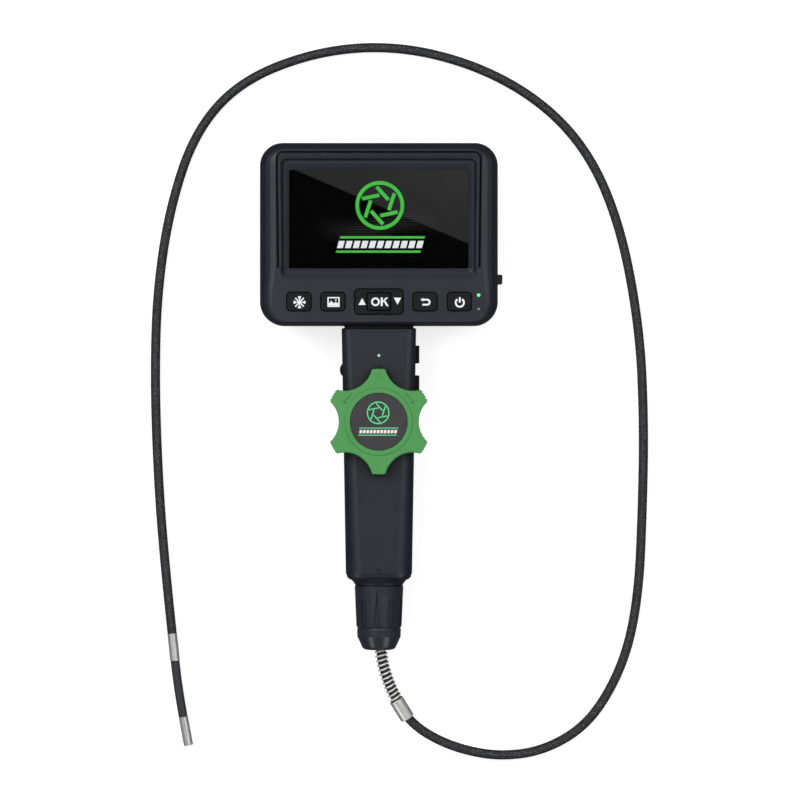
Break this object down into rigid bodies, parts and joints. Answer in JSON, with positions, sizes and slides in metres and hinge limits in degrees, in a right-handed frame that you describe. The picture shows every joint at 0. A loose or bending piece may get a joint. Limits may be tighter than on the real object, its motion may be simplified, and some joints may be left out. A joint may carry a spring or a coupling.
{
  "type": "inspection camera",
  "caption": "Hand-held inspection camera: a screen with keys on a handle with a steering knob, and a long flexible probe with a camera tip that the knob bends.",
  "frame": {"origin": "centre of the box of the case and handle, at the floor that the part lies on, without the probe", "axes": "+Z out of the screen, +Y from the handle to the screen"},
  "size_m": [0.2645, 0.3811, 0.0466],
  "materials": {
    "charcoal_plastic": "satin moulded",
    "key_rubber": "soft touch",
    "green_plastic": "satin moulded",
    "badge_plastic": "fine texture",
    "screen_glass": "polished",
    "lcd": "polished",
    "nickel": "brushed",
    "spring_steel": "drawn wire",
    "steel": "machined",
    "zinc_screw": "plated",
    "brass": "turned",
    "braid": "woven",
    "black_rubber": "matte",
    "board": "solder mask",
    "cell_wrap": "shrink sleeve",
    "lamp_green": "clear, lit",
    "marking": "printed"
  },
  "bodies": {
    "housing": {"front_bezel": "charcoal_plastic", "rear_cover": "charcoal_plastic", "head_screws": "zinc_screw", "port_block": "black_rubber", "screen_glass": "screen_glass", "screen_gasket": "black_rubber", "lcd_panel": "lcd", "main_board": "board", "keypad_membrane": "key_rubber", "power_led": "lamp_green", "status_led": "marking", "neck_gasket": "black_rubber", "neck_stub": "charcoal_plastic", "handle_front_shell": "charcoal_plastic", "handle_rear_shell": "charcoal_plastic", "handle_screws": "zinc_screw", "handle_led": "lamp_green", "side_switch_board": "board", "battery_cell": "cell_wrap", "battery_contacts": "brass", "drum_bracket": "steel", "shaft_bush": "brass", "shaft_o_ring": "black_rubber", "wire_guide": "charcoal_plastic", "steering_wires": "spring_steel", "neck_spigot": "brass", "spigot_o_ring": "black_rubber", "probe_plug": "nickel", "probe_cable": "braid", "strain_spring": "spring_steel", "spring_ferrule": "nickel", "tip_ferrule": "nickel", "bending_sleeve": "black_rubber"},
    "knob": {"steering_knob": "green_plastic", "knob_badge": "badge_plastic", "knob_screw": "zinc_screw", "knob_shaft": "steel", "wire_drum": "steel"},
    "nut": {"probe_nut": "charcoal_plastic"},
    "flap": {"port_cover": "black_rubber"},
    "freeze_key": {"freeze_button": "key_rubber"},
    "gallery_key": {"gallery_button": "key_rubber"},
    "back_key": {"back_button": "key_rubber"},
    "power_key": {"power_button": "key_rubber"},
    "rocker": {"up_down_rocker": "key_rubber"},
    "ok_key": {"ok_button": "key_rubber"},
    "side_key_upper": {"side_button_upper": "key_rubber"},
    "side_key_lower": {"side_button_lower": "key_rubber"},
    "lamp_key": {"lamp_button": "key_rubber"},
    "bend_a": {"link_1": "steel"},
    "bend_b": {"link_2": "steel"},
    "bend_c": {"link_3": "steel"},
    "bend_d": {"link_4": "steel"},
    "bend_e": {"link_5": "steel"},
    "camera": {"camera_head": "nickel", "camera_module": "lcd", "led_ring": "board", "lens_window": "screen_glass"}
  },
  "joints": [
    {"name": "knob_turn", "type": "hinge", "parent": "housing", "child": "knob", "pos_m": [0, -0.0126, 0.04], "axis": [0, 0, 1], "range_deg": [-70, 70]},
    {"name": "nut_turn", "type": "hinge", "parent": "housing", "child": "nut", "pos_m": [0, -0.115, 0.017], "axis": [0, 1, 0], "range_deg": [0, 120]},
    {"name": "flap_swing", "type": "hinge", "parent": "housing", "child": "flap", "pos_m": [0.0625, 0.0957, 0.02175], "axis": [0, 0, 1], "range_deg": [0, 100]},
    {"name": "freeze_press", "type": "slide", "parent": "housing", "child": "freeze_key", "axis": [0, 0, -1], "range_m": [0, 0.0006], "stiffness_N_per_m": 1000},
    {"name": "gallery_press", "type": "slide", "parent": "housing", "child": "gallery_key", "axis": [0, 0, -1], "range_m": [0, 0.0006], "stiffness_N_per_m": 1000},
    {"name": "back_press", "type": "slide", "parent": "housing", "child": "back_key", "axis": [0, 0, -1], "range_m": [0, 0.0006], "stiffness_N_per_m": 1000},
    {"name": "power_press", "type": "slide", "parent": "housing", "child": "power_key", "axis": [0, 0, -1], "range_m": [0, 0.0006], "stiffness_N_per_m": 1000},
    {"name": "ok_press", "type": "slide", "parent": "housing", "child": "ok_key", "axis": [0, 0, -1], "range_m": [0, 0.0006], "stiffness_N_per_m": 1000},
    {"name": "rocker_tilt", "type": "hinge", "parent": "housing", "child": "rocker", "pos_m": [0, 0.0502, 0.036], "axis": [0, 1, 0], "range_deg": [-2.5, 2.5], "stiffness_Nm_per_rad": 0.25},
    {"name": "side_upper_press", "type": "slide", "parent": "housing", "child": "side_key_upper", "axis": [-1, 0, 0], "range_m": [0, 0.001], "stiffness_N_per_m": 1000},
    {"name": "side_lower_press", "type": "slide", "parent": "housing", "child": "side_key_lower", "axis": [-1, 0, 0], "range_m": [0, 0.001], "stiffness_N_per_m": 1000},
    {"name": "lamp_press", "type": "slide", "parent": "housing", "child": "lamp_key", "axis": [1, 0, 0], "range_m": [0, 0.0008], "stiffness_N_per_m": 1000},
    {"name": "bend_1", "type": "hinge", "parent": "housing", "child": "bend_a", "pos_m": [-0.10838, -0.14151, 0.0026], "axis": [0, 0, 1], "range_deg": [-27, 27], "deforming": ["bending_sleeve"]},
    {"name": "bend_2", "type": "hinge", "parent": "bend_a", "child": "bend_b", "pos_m": [-0.10774, -0.14687, 0.0026], "axis": [0, 0, 1], "range_deg": [-27, 27]},
    {"name": "bend_3", "type": "hinge", "parent": "bend_b", "child": "bend_c", "pos_m": [-0.10703, -0.15222, 0.0026], "axis": [0, 0, 1], "range_deg": [-27, 27]},
    {"name": "bend_4", "type": "hinge", "parent": "bend_c", "child": "bend_d", "pos_m": [-0.10624, -0.15757, 0.0026], "axis": [0, 0, 1], "range_deg": [-27, 27]},
    {"name": "bend_5", "type": "hinge", "parent": "bend_d", "child": "bend_e", "pos_m": [-0.10539, -0.1629, 0.0026], "axis": [0, 0, 1], "range_deg": [-27, 27]},
    {"name": "bend_6", "type": "hinge", "parent": "bend_e", "child": "camera", "pos_m": [-0.10447, -0.16822, 0.0026], "axis": [0, 0, 1], "range_deg": [-27, 27]}
  ],
  "couplings": [
    {"joint": "bend_1", "follows": "knob_turn", "ratio": 0.38},
    {"joint": "bend_2", "follows": "knob_turn", "ratio": 0.38},
    {"joint": "bend_3", "follows": "knob_turn", "ratio": 0.38},
    {"joint": "bend_4", "follows": "knob_turn", "ratio": 0.38},
    {"joint": "bend_5", "follows": "knob_turn", "ratio": 0.38},
    {"joint": "bend_6", "follows": "knob_turn", "ratio": 0.38}
  ]
}
